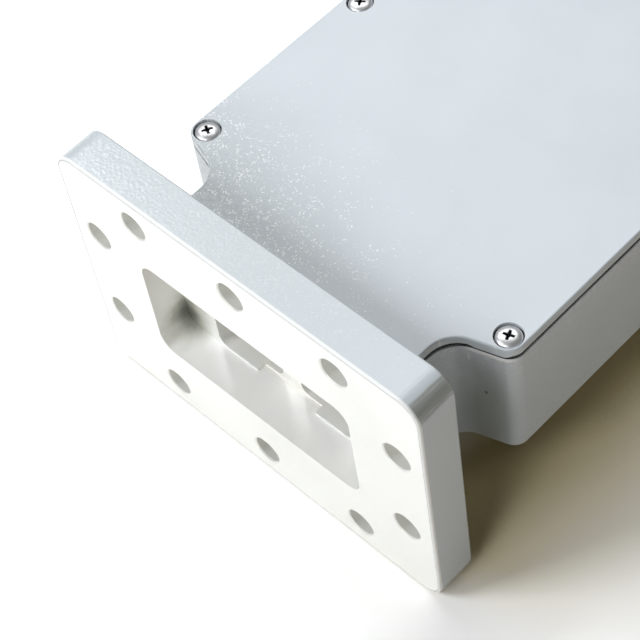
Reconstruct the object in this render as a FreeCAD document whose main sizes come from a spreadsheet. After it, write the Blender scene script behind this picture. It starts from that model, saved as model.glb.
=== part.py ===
import FreeCAD, Part
import math
import os
import Sketcher

# Two-port waveguide filter: a milled body with a flange brazed to each end, a flat lid over a
# gasket, and tuning screws with lock nuts in the floor.
# Frame: X runs along the waveguide, Z is up through the lid, the origin is the centre of the
# waveguide halfway between the two flange faces.

SIZES = {
    # Waveguide and overall length
    "waveguide_width": (58.17, "inside width of the waveguide, along Y"),
    "waveguide_height": (29.08, "inside height of the waveguide, along Z"),
    "overall_length": (206.0, "from one flange face to the other"),
    # Flanges
    "flange_width": (98.43, "flange, along Y"),
    "flange_height": (69.85, "flange, along Z"),
    "flange_thickness": (9.6, "flange, along X"),
    "flange_corner_radius": (5.5, "round of the four flange corners"),
    "flange_edge_round": (0.5, "round of the flange rims"),
    "bolt_hole_diameter": (6.8, "each flange bolt hole"),
    "bolt_hole_chamfer": (0.3, "chamfer at the mouth of each flange bolt hole"),
    "bolt_edge_distance": (7.545, "centre of each bolt hole behind the nearest flange side"),
    "bolt_side_z": (12.9, "bolt holes beside the port, distance from the X axis along Z"),
    "bolt_row_y": (27.38, "outer bolt holes of the two rows, distance along Y"),
    # Port, coupling windows and centre bar
    "port_depth": (8.2, "from the flange face to the coupling wall"),
    "braze_gap": (0.04, "between the body's spigot and the flange round it"),
    "port_corner_radius": (4.0, "round of the port's long edges"),
    "bar_recess_depth": (2.2, "recess in the coupling wall, in front of the centre bar"),
    "bar_recess_width": (16.8, "recess in the coupling wall, along Y"),
    "bar_width": (5.2, "centre bar between the two coupling windows"),
    "window_outer_y": (19.6, "outer side of each coupling window, distance along Y"),
    "window_sill": (0.55, "step from the port floor up to the windows"),
    "window_bridge": (1.9, "metal between the windows and the top of the waveguide"),
    "window_corner_radius": (2.5, "round of the window corners"),
    # Resonant cavities, milled from above
    "cavity_start": (13.0, "from the flange face to the first cavity"),
    "cavity_corner_radius": (3.5, "round left by the cutter in the cavity corners"),
    "iris_thickness": (4.0, "fins between two cavities, along X"),
    "outer_iris_width": (30.0, "opening between the first pair and the last pair of fins"),
    "middle_iris_width": (27.0, "opening between the middle pair of fins"),
    # Casing round the cavities
    "casing_width": (90.4, "wide part of the casing, along Y"),
    "neck_wall": (2.6, "side wall of the narrow necks next to the flanges"),
    "floor_thickness": (2.4, "floor under the cavities"),
    "neck_round_radius": (7.0, "hollow round from the neck into the shoulder"),
    "shoulder_slope": (17.0, "lean of the shoulder wall in degrees"),
    "ear_radius": (3.6, "round of each casing corner, centred on its lid screw"),
    "floor_edge_round": (0.5, "round of the casing's lower rim"),
    "casing_rim_round": (0.25, "round of the casing's upper rim, under the gasket"),
    # Lid, gasket and lid screws
    "lid_thickness": (2.4, "lid plate"),
    "lid_edge_round": (0.45, "round of the lid's upper rim"),
    "lid_end_gap": (0.15, "between the end of the lid and the flange"),
    "gasket_thickness": (0.8, "gasket, which fills the step under the rim of the lid"),
    "gasket_side_width": (7.2, "step for the gasket along the wide part of the casing"),
    "gasket_neck_width": (1.3, "step for the gasket round the necks"),
    "gasket_inset": (0.25, "gasket behind the outer faces of lid and casing"),
    "gasket_clearance": (0.1, "between the gasket and the wall of its step"),
    "screw_end_offset": (32.3, "from the flange face to the first lid screws"),
    "screw_radius": (1.5, "lid screw thread"),
    "screw_fit": (0.03, "play of the lid screws in their tapped holes"),
    "screw_length": (9.0, "lid screw under its head"),
    "screw_hole_spare": (1.5, "tapped hole beyond the end of the screw"),
    "screw_clearance": (0.2, "play of the lid screws in lid and gasket"),
    "head_radius": (2.75, "lid screw head"),
    "head_height": (1.6, "lid screw head"),
    "head_dome": (0.55, "domed part of the head height"),
    "head_pocket_clearance": (0.35, "round the screw head in its pocket"),
    "head_pocket_depth": (1.3, "screw head pocket in the lid"),
    "cross_width": (0.9, "one slot of the cross recess"),
    "cross_span": (3.2, "cross recess from end to end"),
    "cross_depth": (1.0, "cross recess"),
    # Tuning screws and lock nuts
    "cavity_screw_radius": (2.5, "tuning screw of a cavity"),
    "cavity_screw_reach": (6.0, "tuning screw into the cavity, above its floor"),
    "cavity_nut_width": (8.0, "lock nut across its flats"),
    "cavity_nut_height": (2.7, "lock nut"),
    "coupling_screw_radius": (2.0, "tuning screw of an iris"),
    "coupling_screw_reach": (5.0, "tuning screw into the iris, above its floor"),
    "coupling_nut_width": (7.0, "lock nut across its flats"),
    "coupling_nut_height": (2.2, "lock nut"),
    "tuning_fit": (0.04, "play of the tuning screws in their threads"),
    "tuning_tail": (3.5, "tuning screw below its lock nut"),
    "tuning_slot_width": (1.0, "screwdriver slot of a tuning screw"),
    "tuning_slot_depth": (1.4, "screwdriver slot of a tuning screw"),
    "tuning_chamfer": (0.4, "chamfer at both ends of a tuning screw"),
}
CAVITY_COUNT = 4
SCREWS_PER_SIDE = 4
PORT_ENDS = (-1, 1)
SIDES = (-1, 1)

# Positions that several pieces share, written as formulas of the sheet
HALF_LENGTH = "Sizes.overall_length / 2"
CASING_END = "(Sizes.overall_length / 2 - Sizes.flange_thickness)"
BOLT_SIDE_Y = "(Sizes.flange_width / 2 - Sizes.bolt_edge_distance)"
BOLT_ROW_Z = "(Sizes.flange_height / 2 - Sizes.bolt_edge_distance)"
CASING_HALF = "Sizes.casing_width / 2"
NECK_HALF = "(Sizes.waveguide_width / 2 + Sizes.neck_wall)"
SEAT_Z = "Sizes.waveguide_height / 2"
STEP_Z = "(Sizes.waveguide_height / 2 - Sizes.gasket_thickness)"
FLOOR_Z = "-(Sizes.waveguide_height / 2)"
BASE_Z = "-(Sizes.waveguide_height / 2 + Sizes.floor_thickness)"
SCREW_X = "(Sizes.overall_length / 2 - Sizes.screw_end_offset)"
SCREW_Y = "(Sizes.casing_width / 2 - Sizes.ear_radius)"
LAND_X = "(Sizes.overall_length / 2 - Sizes.flange_thickness - Sizes.gasket_neck_width)"
LAND_Y = "(Sizes.waveguide_width / 2 + Sizes.neck_wall - Sizes.gasket_neck_width)"
WIDE_LAND_X = SCREW_X + " - (Sizes.gasket_side_width - Sizes.ear_radius)"
WIDE_LAND_Y = "(Sizes.casing_width / 2 - Sizes.gasket_side_width)"
CAVITY_PITCH = (
    f"((Sizes.overall_length - 2 * Sizes.cavity_start + Sizes.iris_thickness) / {CAVITY_COUNT})"
)
CAVITY_LENGTH = f"({CAVITY_PITCH} - Sizes.iris_thickness)"

doc = FreeCAD.newDocument("waveguide_filter")
sheet = doc.addObject("Spreadsheet::Sheet", "Sizes")
for row, (alias, (number, note)) in enumerate(SIZES.items(), start=1):
    sheet.set(f"A{row}", alias)
    sheet.set(f"B{row}", str(number))
    sheet.set(f"C{row}", note)
    sheet.setAlias(f"B{row}", alias)
doc.recompute()


def value(formula):
    """The number that a formula of the sheet gives."""
    result = sheet.evalExpression(formula)
    return float(getattr(result, "Value", result))


def new_body(label):
    body = doc.addObject("PartDesign::Body", label)
    body.Label = label
    return body


def origin_plane(body, role):
    return next(item for item in body.Origin.OriginFeatures if item.Role == role)


def new_sketch(body, name, role, height="0"):
    """A sketch on an origin plane of its body, moved along the plane's normal."""
    sketch = body.newObject("Sketcher::SketchObject", name)
    sketch.AttachmentSupport = (origin_plane(body, role), [""])
    sketch.MapMode = "FlatFace"
    sketch.AttachmentOffset = FreeCAD.Placement(
        FreeCAD.Vector(0, 0, value(height)), FreeCAD.Rotation()
    )
    sketch.setExpression("AttachmentOffset.Base.z", height)
    return sketch


def bind(sketch, kind, places, formula):
    """A dimension of the sketch that follows a formula."""
    index = sketch.addConstraint(Sketcher.Constraint(kind, *places, value(formula)))
    sketch.setExpression(f"Constraints[{index}]", formula)


def place_point(sketch, geometry, point, x_formula, y_formula):
    """Fixes a point of the sketch at signed distances from the origin."""
    for kind, axis, formula in (("DistanceX", -2, x_formula), ("DistanceY", -1, y_formula)):
        if formula is None:
            continue
        number = value(formula)
        if abs(number) < 1e-9:
            sketch.addConstraint(Sketcher.Constraint("PointOnObject", geometry, point, axis))
        elif number > 0:
            bind(sketch, kind, (-1, 1, geometry, point), formula)
        else:
            bind(sketch, kind, (geometry, point, -1, 1), f"-({formula})")


def add_line(sketch, start, end):
    return sketch.addGeometry(Part.LineSegment(vector(start), vector(end)))


def add_arc(sketch, centre, radius, first_angle, last_angle):
    circle = Part.Circle(vector(centre), FreeCAD.Vector(0, 0, 1), radius)
    return sketch.addGeometry(Part.ArcOfCircle(circle, first_angle, last_angle))


def vector(point):
    return FreeCAD.Vector(point[0], point[1], 0)


def join(sketch, kind, first, first_point, second, second_point):
    places = (first, first_point, second, second_point)
    sketch.addConstraint(Sketcher.Constraint(kind, *places))


def add_circle(sketch, x_formula, y_formula, radius_formula):
    centre = vector((value(x_formula), value(y_formula)))
    circle = Part.Circle(centre, FreeCAD.Vector(0, 0, 1), value(radius_formula))
    geometry = sketch.addGeometry(circle)
    place_point(sketch, geometry, 3, x_formula, y_formula)
    bind(sketch, "Radius", (geometry,), radius_formula)


def add_rectangle(sketch, left, right, low, high, radius=None):
    """A rectangle with its sides at signed places, with round corners where a radius is given."""
    x0, x1, y0, y1 = (value(side) for side in (left, right, low, high))
    r = value(radius) if radius else 0.0
    bottom = add_line(sketch, (x0 + r, y0), (x1 - r, y0))
    side_right = add_line(sketch, (x1, y0 + r), (x1, y1 - r))
    top = add_line(sketch, (x1 - r, y1), (x0 + r, y1))
    side_left = add_line(sketch, (x0, y1 - r), (x0, y0 + r))
    for line in (bottom, top):
        sketch.addConstraint(Sketcher.Constraint("Horizontal", line))
    for line in (side_right, side_left):
        sketch.addConstraint(Sketcher.Constraint("Vertical", line))
    lines = (bottom, side_right, top, side_left)
    if radius:
        quarter = math.pi / 2
        centres = ((x1 - r, y0 + r), (x1 - r, y1 - r), (x0 + r, y1 - r), (x0 + r, y0 + r))
        arcs = []
        for turn, centre in enumerate(centres):
            start = quarter * (turn - 1)
            arcs.append(add_arc(sketch, centre, r, start, start + quarter))
        for turn, arc in enumerate(arcs):
            join(sketch, "Tangent", lines[turn], 2, arc, 1)
            join(sketch, "Tangent", arc, 2, lines[(turn + 1) % 4], 1)
        for arc in arcs[1:]:
            sketch.addConstraint(Sketcher.Constraint("Equal", arcs[0], arc))
        bind(sketch, "Radius", (arcs[0],), radius)
    else:
        for turn in range(4):
            join(sketch, "Coincident", lines[turn], 2, lines[(turn + 1) % 4], 1)
    place_point(sketch, bottom, 1, None, low)
    place_point(sketch, top, 1, None, high)
    place_point(sketch, side_left, 1, left, None)
    place_point(sketch, side_right, 1, right, None)


def add_pad(body, name, sketch, length, toward_negative=False):
    pad = body.newObject("PartDesign::Pad", name)
    pad.Profile = sketch
    pad.setExpression("Length", length)
    pad.Reversed = toward_negative
    doc.recompute()
    return pad


def add_pocket(body, name, sketch, length, toward_positive=False):
    """Cuts along the sketch's normal, and stops if nothing comes off."""
    before = body.Shape.Volume
    pocket = body.newObject("PartDesign::Pocket", name)
    pocket.Profile = sketch
    pocket.setExpression("Length", length)
    pocket.Reversed = toward_positive
    doc.recompute()
    if not pocket.Shape.Volume < before - 0.01:
        raise RuntimeError(f"{name} cuts nothing")
    return pocket


def mirror_to_quarters(body, name, feature):
    """Repeats a feature of one quarter in the other three."""
    across = body.newObject("PartDesign::Mirrored", name + "_across")
    across.MirrorPlane = (origin_plane(body, "XZ_Plane"), [""])
    along = body.newObject("PartDesign::Mirrored", name + "_along")
    along.MirrorPlane = (origin_plane(body, "YZ_Plane"), [""])
    quarters = body.newObject("PartDesign::MultiTransform", name)
    quarters.Originals = [feature]
    quarters.Transformations = [across, along]
    body.Tip = quarters
    doc.recompute()
    return quarters


def dress_edges(body, kind, name, wanted, size_property, formula):
    """A fillet or chamfer on the edges of the tip for which wanted is true."""
    tip = body.Tip
    edges = [f"Edge{number}" for number, edge in enumerate(tip.Shape.Edges, 1) if wanted(edge)]
    dressed = body.newObject(kind, name)
    dressed.Base = (tip, edges)
    dressed.setExpression(size_property, formula)
    doc.recompute()
    return dressed


def lies_at(edge, axis, place):
    """True where the whole edge lies in the plane at that place along the axis."""
    box = edge.BoundBox
    low, high = ((box.XMin, box.XMax), (box.YMin, box.YMax), (box.ZMin, box.ZMax))[axis]
    return abs(low - place) < 1e-4 and abs(high - place) < 1e-4


# Casing outline


def add_quarter_outline(sketch, end, inset="0"):
    """Long side, ear, shoulder and neck of one quarter; returns the open ends of the outline.

    The ear turns about the lid screw, the shoulder is the common tangent of the ear and of the
    hollow round, and the inset moves the whole outline inward.
    """
    lean = math.radians(value("Sizes.shoulder_slope"))
    side_y = value(f"{CASING_HALF} - {inset}")
    neck_y = value(f"{NECK_HALF} - {inset}")
    ear = value(f"Sizes.ear_radius - {inset}")
    hollow = value(f"Sizes.neck_round_radius + {inset}")
    ear_x = value(SCREW_X)
    ear_y = side_y - ear
    upper = (ear_x + ear * math.cos(lean), ear_y + ear * math.sin(lean))
    hollow_y = neck_y + hollow
    lower_y = hollow_y - hollow * math.sin(lean)
    lower_x = upper[0] + (upper[1] - lower_y) * math.tan(lean)
    hollow_x = lower_x + hollow * math.cos(lean)
    side = add_line(sketch, (0, side_y), (ear_x, side_y))
    ear_arc = add_arc(sketch, (ear_x, ear_y), ear, lean, math.pi / 2)
    shoulder = add_line(sketch, (lower_x, lower_y), upper)
    hollow_arc = add_arc(sketch, (hollow_x, hollow_y), hollow, math.pi + lean, 1.5 * math.pi)
    neck = add_line(sketch, (hollow_x, neck_y), (value(end), neck_y))
    join(sketch, "Tangent", side, 2, ear_arc, 2)
    join(sketch, "Tangent", ear_arc, 1, shoulder, 2)
    join(sketch, "Tangent", shoulder, 1, hollow_arc, 1)
    join(sketch, "Tangent", hollow_arc, 2, neck, 1)
    for line in (side, neck):
        sketch.addConstraint(Sketcher.Constraint("Horizontal", line))
    place_point(sketch, side, 1, "0", f"{CASING_HALF} - {inset}")
    place_point(sketch, ear_arc, 3, SCREW_X, None)
    place_point(sketch, neck, 2, end, f"{NECK_HALF} - {inset}")
    bind(sketch, "Radius", (ear_arc,), f"Sizes.ear_radius - {inset}")
    bind(sketch, "Radius", (hollow_arc,), f"Sizes.neck_round_radius + {inset}")
    angle = sketch.addConstraint(Sketcher.Constraint("Angle", shoulder, math.pi / 2 + lean))
    sketch.setExpression(f"Constraints[{angle}]", "(90 + Sizes.shoulder_slope) * 1 deg")
    return side, neck


def close_outline(sketch, first, last, corners):
    """Straight lines from the end of last through the corners to the start of first."""
    places = [(value(x), value(y)) for x, y in corners]
    start = sketch.getPoint(last, 2)
    finish = sketch.getPoint(first, 1)
    points = [(start.x, start.y)] + places + [(finish.x, finish.y)]
    lines = [add_line(sketch, a, b) for a, b in zip(points, points[1:])]
    for line, (x, y) in zip(lines, corners):
        place_point(sketch, line, 2, x, y)
    chain = [last] + lines
    for before, after in zip(chain, lines):
        join(sketch, "Coincident", before, 2, after, 1)
    join(sketch, "Coincident", lines[-1], 2, first, 1)


def outline_plate(body, name, height, end, thickness):
    sketch = new_sketch(body, name + "_outline", "XY_Plane", height)
    side, neck = add_quarter_outline(sketch, end)
    close_outline(sketch, side, neck, [(end, "0"), ("0", "0")])
    pad = add_pad(body, name + "_quarter", sketch, thickness)
    return mirror_to_quarters(body, name + "_plate", pad)


def land_corners(clearance="0"):
    """Corners of the raised seat inside the gasket step, from the end to the middle."""
    return [
        (f"{LAND_X} + {clearance}", "0"),
        (f"{LAND_X} + {clearance}", f"{LAND_Y} + {clearance}"),
        (f"{WIDE_LAND_X} + {clearance}", f"{LAND_Y} + {clearance}"),
        (f"{WIDE_LAND_X} + {clearance}", f"{WIDE_LAND_Y} + {clearance}"),
        ("0", f"{WIDE_LAND_Y} + {clearance}"),
    ]


def lid_screw_places():
    """Formulas for the centre of each lid screw, in plan."""
    pitch = f"2 * {SCREW_X} / {SCREWS_PER_SIDE - 1}"
    for side in SIDES:
        for index in range(SCREWS_PER_SIDE):
            yield f"{index} * ({pitch}) - {SCREW_X}", f"{side} * {SCREW_Y}"


def cavity_centre(index):
    return f"({index - (CAVITY_COUNT - 1) / 2}) * {CAVITY_PITCH}"


def iris_centre(index):
    return f"({index + 1 - CAVITY_COUNT / 2}) * {CAVITY_PITCH}"


# Flanges


def bolt_hole_places():
    for side in SIDES:
        for level in SIDES:
            yield f"{side} * {BOLT_SIDE_Y}", f"{level} * Sizes.bolt_side_z"
            yield f"{side} * Sizes.bolt_row_y", f"{level} * {BOLT_ROW_Z}"
        yield "0", f"{side} * {BOLT_ROW_Z}"


def port_name(end):
    return "input" if end < 0 else "output"


def build_flange(end):
    """A flat plate with the port through it and ten bolt holes, facing outward along X."""
    name = port_name(end)
    body = new_body(name + "_flange")
    face_x = f"{end} * {HALF_LENGTH}"
    front = value(face_x)
    back = value(f"{end} * {CASING_END}")
    outline = new_sketch(body, name + "_flange_outline", "YZ_Plane", face_x)
    add_rectangle(
        outline,
        "-(Sizes.flange_width / 2)",
        "Sizes.flange_width / 2",
        "-(Sizes.flange_height / 2)",
        "Sizes.flange_height / 2",
        "Sizes.flange_corner_radius",
    )
    add_pad(body, name + "_plate", outline, "Sizes.flange_thickness", toward_negative=end > 0)
    dress_edges(
        body,
        "PartDesign::Fillet",
        name + "_flange_rims",
        lambda edge: lies_at(edge, 0, front) or lies_at(edge, 0, back),
        "Radius",
        "Sizes.flange_edge_round",
    )
    port = new_sketch(body, name + "_port_outline", "YZ_Plane", face_x)
    add_rectangle(
        port,
        "-(Sizes.waveguide_width / 2)",
        "Sizes.waveguide_width / 2",
        FLOOR_Z,
        SEAT_Z,
        "Sizes.port_corner_radius",
    )
    add_pocket(body, name + "_port", port, "Sizes.flange_thickness", end < 0)
    holes = new_sketch(body, name + "_bolt_hole_circles", "YZ_Plane", face_x)
    for y, z in bolt_hole_places():
        add_circle(holes, y, z, "Sizes.bolt_hole_diameter / 2")
    add_pocket(body, name + "_bolt_holes", holes, "Sizes.flange_thickness", end < 0)

    def is_hole_mouth(edge):
        circle = isinstance(edge.Curve, Part.Circle) and edge.isClosed()
        return circle and lies_at(edge, 0, front)

    dress_edges(
        body,
        "PartDesign::Chamfer",
        name + "_bolt_hole_mouths",
        is_hole_mouth,
        "Size",
        "Sizes.bolt_hole_chamfer",
    )
    return body


# Filter body


def add_port_end(body, end):
    """The spigot that sits in the flange, and the recess and the two windows in its face."""
    name = port_name(end)
    ceiling = f"{SEAT_Z} - Sizes.window_bridge"
    spigot = new_sketch(body, name + "_spigot_outline", "YZ_Plane", f"{end} * {CASING_END}")
    add_rectangle(
        spigot,
        "-(Sizes.waveguide_width / 2 - Sizes.braze_gap)",
        "Sizes.waveguide_width / 2 - Sizes.braze_gap",
        f"{FLOOR_Z} + Sizes.braze_gap",
        f"{SEAT_Z} - Sizes.braze_gap",
        "Sizes.port_corner_radius - Sizes.braze_gap",
    )
    length = "Sizes.flange_thickness - Sizes.port_depth"
    add_pad(body, name + "_spigot", spigot, length, toward_negative=end < 0)
    wall_x = f"{end} * ({HALF_LENGTH} - Sizes.port_depth)"
    recess = new_sketch(body, name + "_bar_recess_outline", "YZ_Plane", wall_x)
    half = "Sizes.bar_recess_width / 2"
    add_rectangle(recess, f"-({half})", half, FLOOR_Z, ceiling)
    add_pocket(body, name + "_bar_recess", recess, "Sizes.bar_recess_depth", end < 0)
    windows = new_sketch(body, name + "_window_outlines", "YZ_Plane", wall_x)
    sill = f"{FLOOR_Z} + Sizes.window_sill"
    inner = "Sizes.bar_width / 2"
    outer = "Sizes.window_outer_y"
    corner = "Sizes.window_corner_radius"
    add_rectangle(windows, inner, outer, sill, ceiling, corner)
    add_rectangle(windows, f"-({outer})", f"-({inner})", sill, ceiling, corner)
    reach = "Sizes.cavity_start - Sizes.port_depth"
    add_pocket(body, name + "_windows", windows, reach, end < 0)


def add_cavities(body):
    cavities = new_sketch(body, "cavity_outlines", "XY_Plane", SEAT_Z)
    half_width = "Sizes.waveguide_width / 2"
    for index in range(CAVITY_COUNT):
        centre = cavity_centre(index)
        add_rectangle(
            cavities,
            f"{centre} - {CAVITY_LENGTH} / 2",
            f"{centre} + {CAVITY_LENGTH} / 2",
            f"-({half_width})",
            half_width,
            "Sizes.cavity_corner_radius",
        )
    add_pocket(body, "cavities", cavities, "Sizes.waveguide_height")
    irises = new_sketch(body, "iris_outlines", "XY_Plane", SEAT_Z)
    for index in range(CAVITY_COUNT - 1):
        middle = 2 * index == CAVITY_COUNT - 2
        width = "Sizes.middle_iris_width" if middle else "Sizes.outer_iris_width"
        centre = iris_centre(index)
        add_rectangle(
            irises,
            f"{centre} - Sizes.iris_thickness",
            f"{centre} + Sizes.iris_thickness",
            f"-({width} / 2)",
            f"{width} / 2",
        )
    add_pocket(body, "irises", irises, "Sizes.waveguide_height")


def build_filter_body():
    body = new_body("filter_body")
    rise = f"{STEP_Z} - ({BASE_Z})"
    outline_plate(body, "casing", BASE_Z, CASING_END, rise)
    rims = (
        ("casing_lower_rim", BASE_Z, "Sizes.floor_edge_round"),
        ("casing_upper_rim", STEP_Z, "Sizes.casing_rim_round"),
    )
    for name, level, radius in rims:
        height = value(level)

        def is_side_rim(edge, height=height):
            return lies_at(edge, 2, height) and not lies_at(edge, 0, edge.BoundBox.XMin)

        dress_edges(body, "PartDesign::Fillet", name, is_side_rim, "Radius", radius)
    seat = new_sketch(body, "seat_outline", "XY_Plane", STEP_Z)
    corners = land_corners() + [("0", "0")]
    points = [(value(x), value(y)) for x, y in corners]
    lines = [add_line(seat, a, b) for a, b in zip(points, points[1:] + points[:1])]
    for line, (x, y) in zip(lines, corners):
        place_point(seat, line, 1, x, y)
    for before, after in zip(lines, lines[1:] + lines[:1]):
        join(seat, "Coincident", before, 2, after, 1)
    quarter = add_pad(body, "seat_quarter", seat, "Sizes.gasket_thickness")
    mirror_to_quarters(body, "lid_seat", quarter)
    add_cavities(body)
    for end in PORT_ENDS:
        add_port_end(body, end)
    tapped = new_sketch(body, "lid_screw_circles", "XY_Plane", STEP_Z)
    for x, y in lid_screw_places():
        add_circle(tapped, x, y, "Sizes.screw_radius + Sizes.screw_fit")
    grip = "Sizes.lid_thickness - Sizes.head_pocket_depth + Sizes.gasket_thickness"
    depth = f"Sizes.screw_length - ({grip}) + Sizes.screw_hole_spare"
    add_pocket(body, "lid_screw_holes", tapped, depth)
    tuning = new_sketch(body, "tuning_circles", "XY_Plane", BASE_Z)
    for index in range(CAVITY_COUNT):
        add_circle(tuning, cavity_centre(index), "0", "Sizes.cavity_screw_radius")
    for index in range(CAVITY_COUNT - 1):
        add_circle(tuning, iris_centre(index), "0", "Sizes.coupling_screw_radius")
    add_pocket(body, "tuning_holes", tuning, "Sizes.floor_thickness", True)
    return body


# Lid, gasket and lid screws


def build_lid():
    body = new_body("lid")
    end = f"{CASING_END} - Sizes.lid_end_gap"
    outline_plate(body, "lid", SEAT_Z, end, "Sizes.lid_thickness")
    top = f"{SEAT_Z} + Sizes.lid_thickness"
    top_z = value(top)
    dress_edges(
        body,
        "PartDesign::Fillet",
        "lid_rim",
        lambda edge: lies_at(edge, 2, top_z),
        "Radius",
        "Sizes.lid_edge_round",
    )
    heads = new_sketch(body, "head_pocket_circles", "XY_Plane", top)
    shanks = new_sketch(body, "clearance_hole_circles", "XY_Plane", top)
    for x, y in lid_screw_places():
        add_circle(heads, x, y, "Sizes.head_radius + Sizes.head_pocket_clearance")
        add_circle(shanks, x, y, "Sizes.screw_radius + Sizes.screw_clearance")
    add_pocket(body, "head_pockets", heads, "Sizes.head_pocket_depth")
    add_pocket(body, "clearance_holes", shanks, "Sizes.lid_thickness")
    return body


def build_lid_gasket():
    """A flat frame in the step round the seat, with a hole for each lid screw."""
    body = new_body("lid_gasket")
    sketch = new_sketch(body, "gasket_outline", "XY_Plane", STEP_Z)
    end = f"{CASING_END} - Sizes.lid_end_gap"
    side, neck = add_quarter_outline(sketch, end, "Sizes.gasket_inset")
    corners = [(end, "0")] + land_corners("Sizes.gasket_clearance")
    close_outline(sketch, side, neck, corners)
    pad = add_pad(body, "gasket_quarter", sketch, "Sizes.gasket_thickness")
    mirror_to_quarters(body, "gasket_frame", pad)
    holes = new_sketch(body, "gasket_hole_circles", "XY_Plane", SEAT_Z)
    for x, y in lid_screw_places():
        add_circle(holes, x, y, "Sizes.screw_radius + Sizes.screw_clearance")
    add_pocket(body, "gasket_holes", holes, "Sizes.gasket_thickness")
    return body


def build_lid_screw():
    """One pan head screw with a cross recess, standing on the plane under its head."""
    body = new_body("lid_screw")
    profile = new_sketch(body, "screw_profile", "XZ_Plane")
    radius = value("Sizes.screw_radius")
    head = value("Sizes.head_radius")
    height = value("Sizes.head_height")
    rim = value("Sizes.head_height - Sizes.head_dome")
    length = value("Sizes.screw_length")
    dome = height - rim
    sphere = (head * head + dome * dome) / (2 * dome)
    centre_z = height - sphere
    rim_angle = math.asin((rim - centre_z) / sphere)
    tip = add_line(profile, (0, -length), (radius, -length))
    shank = add_line(profile, (radius, -length), (radius, 0))
    under = add_line(profile, (radius, 0), (head, 0))
    edge = add_line(profile, (head, 0), (head, rim))
    crown = add_arc(profile, (0, centre_z), sphere, rim_angle, math.pi / 2)
    core = add_line(profile, (0, height), (0, -length))
    outline = (tip, shank, under, edge, crown, core)
    for before, after in zip(outline, outline[1:] + outline[:1]):
        join(profile, "Coincident", before, 2, after, 1)
    for line in (tip, under):
        profile.addConstraint(Sketcher.Constraint("Horizontal", line))
    for line in (shank, edge):
        profile.addConstraint(Sketcher.Constraint("Vertical", line))
    place_point(profile, tip, 1, "0", "-(Sizes.screw_length)")
    place_point(profile, under, 1, "Sizes.screw_radius", "0")
    place_point(profile, edge, 2, "Sizes.head_radius", "Sizes.head_height - Sizes.head_dome")
    place_point(profile, crown, 3, "0", None)
    place_point(profile, crown, 2, "0", "Sizes.head_height")
    turned = body.newObject("PartDesign::Revolution", "screw_turned")
    turned.Profile = profile
    turned.ReferenceAxis = (profile, ["V_Axis"])
    turned.Angle = 360
    doc.recompute()
    half_span = "Sizes.cross_span / 2"
    half_slot = "Sizes.cross_width / 2"
    for name, x, y in (("x", half_span, half_slot), ("y", half_slot, half_span)):
        slot = new_sketch(body, f"cross_slot_{name}", "XY_Plane", "Sizes.head_height")
        add_rectangle(slot, f"-({x})", x, f"-({y})", y)
        add_pocket(body, f"cross_recess_{name}", slot, "Sizes.cross_depth")
    return body


def copies_at(label, original, places):
    """Copies of one solid that share a node, each moved to its own place."""
    group = doc.addObject("Part::Feature", label)
    group.Label = label
    solids = []
    for place in places:
        solid = original.Shape.copy()
        solid.translate(FreeCAD.Vector(*place))
        solids.append(solid)
    group.Shape = Part.makeCompound(solids)
    group.Placement = FreeCAD.Placement()
    return group


# Tuning screws and lock nuts


def build_tuning_screw(label, x_formula, size):
    """A slotted brass screw that stands in the floor, with its slot end below the nut."""
    body = new_body(label)
    radius = f"Sizes.{size}_screw_radius - Sizes.tuning_fit"
    low = f"{BASE_Z} - Sizes.{size}_nut_height - Sizes.tuning_tail"
    high = f"{FLOOR_Z} + Sizes.{size}_screw_reach"
    circle = new_sketch(body, label + "_circle", "XY_Plane", low)
    add_circle(circle, "0", "0", radius)
    add_pad(body, label + "_rod", circle, f"({high}) - ({low})")
    ends = (value(low), value(high))
    dress_edges(
        body,
        "PartDesign::Chamfer",
        label + "_ends",
        lambda edge: lies_at(edge, 2, ends[0]) or lies_at(edge, 2, ends[1]),
        "Size",
        "Sizes.tuning_chamfer",
    )
    slot = new_sketch(body, label + "_slot_outline", "XY_Plane", low)
    half = "Sizes.tuning_slot_width / 2"
    across = f"Sizes.{size}_screw_radius"
    add_rectangle(slot, f"-({half})", half, f"-({across})", across)
    add_pocket(body, label + "_slot", slot, "Sizes.tuning_slot_depth", True)
    body.setExpression("Placement.Base.x", x_formula)
    return body


def build_lock_nut(label, size):
    """One hexagon nut with its upper face against the underside of the floor."""
    body = new_body(label)
    outline = new_sketch(body, label + "_hexagon", "XY_Plane", BASE_Z)
    corner_formula = f"Sizes.{size}_nut_width / sqrt(3)"
    corner = value(corner_formula)
    points = [
        (corner * math.cos(math.radians(60 * turn)), corner * math.sin(math.radians(60 * turn)))
        for turn in range(6)
    ]
    lines = [add_line(outline, a, b) for a, b in zip(points, points[1:] + points[:1])]
    ring = outline.addGeometry(
        Part.Circle(FreeCAD.Vector(), FreeCAD.Vector(0, 0, 1), corner), True
    )
    for before, after in zip(lines, lines[1:] + lines[:1]):
        join(outline, "Coincident", before, 2, after, 1)
    for line in lines:
        outline.addConstraint(Sketcher.Constraint("PointOnObject", line, 1, ring))
    for line in lines[1:]:
        outline.addConstraint(Sketcher.Constraint("Equal", lines[0], line))
    place_point(outline, ring, 3, "0", "0")
    place_point(outline, lines[0], 1, None, "0")
    bind(outline, "Radius", (ring,), corner_formula)
    add_circle(outline, "0", "0", f"Sizes.{size}_screw_radius")
    add_pad(body, label + "_blank", outline, f"Sizes.{size}_nut_height", toward_negative=True)
    return body


filter_body = build_filter_body()
flanges = [build_flange(end) for end in PORT_ENDS]
lid = build_lid()
lid_gasket = build_lid_gasket()

lid_screw = build_lid_screw()
head_seat = value(f"{SEAT_Z} + Sizes.lid_thickness - Sizes.head_pocket_depth")
screw_centres = [(value(x), value(y), head_seat) for x, y in lid_screw_places()]
lid_screws = copies_at("lid_screws", lid_screw, screw_centres)

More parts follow.
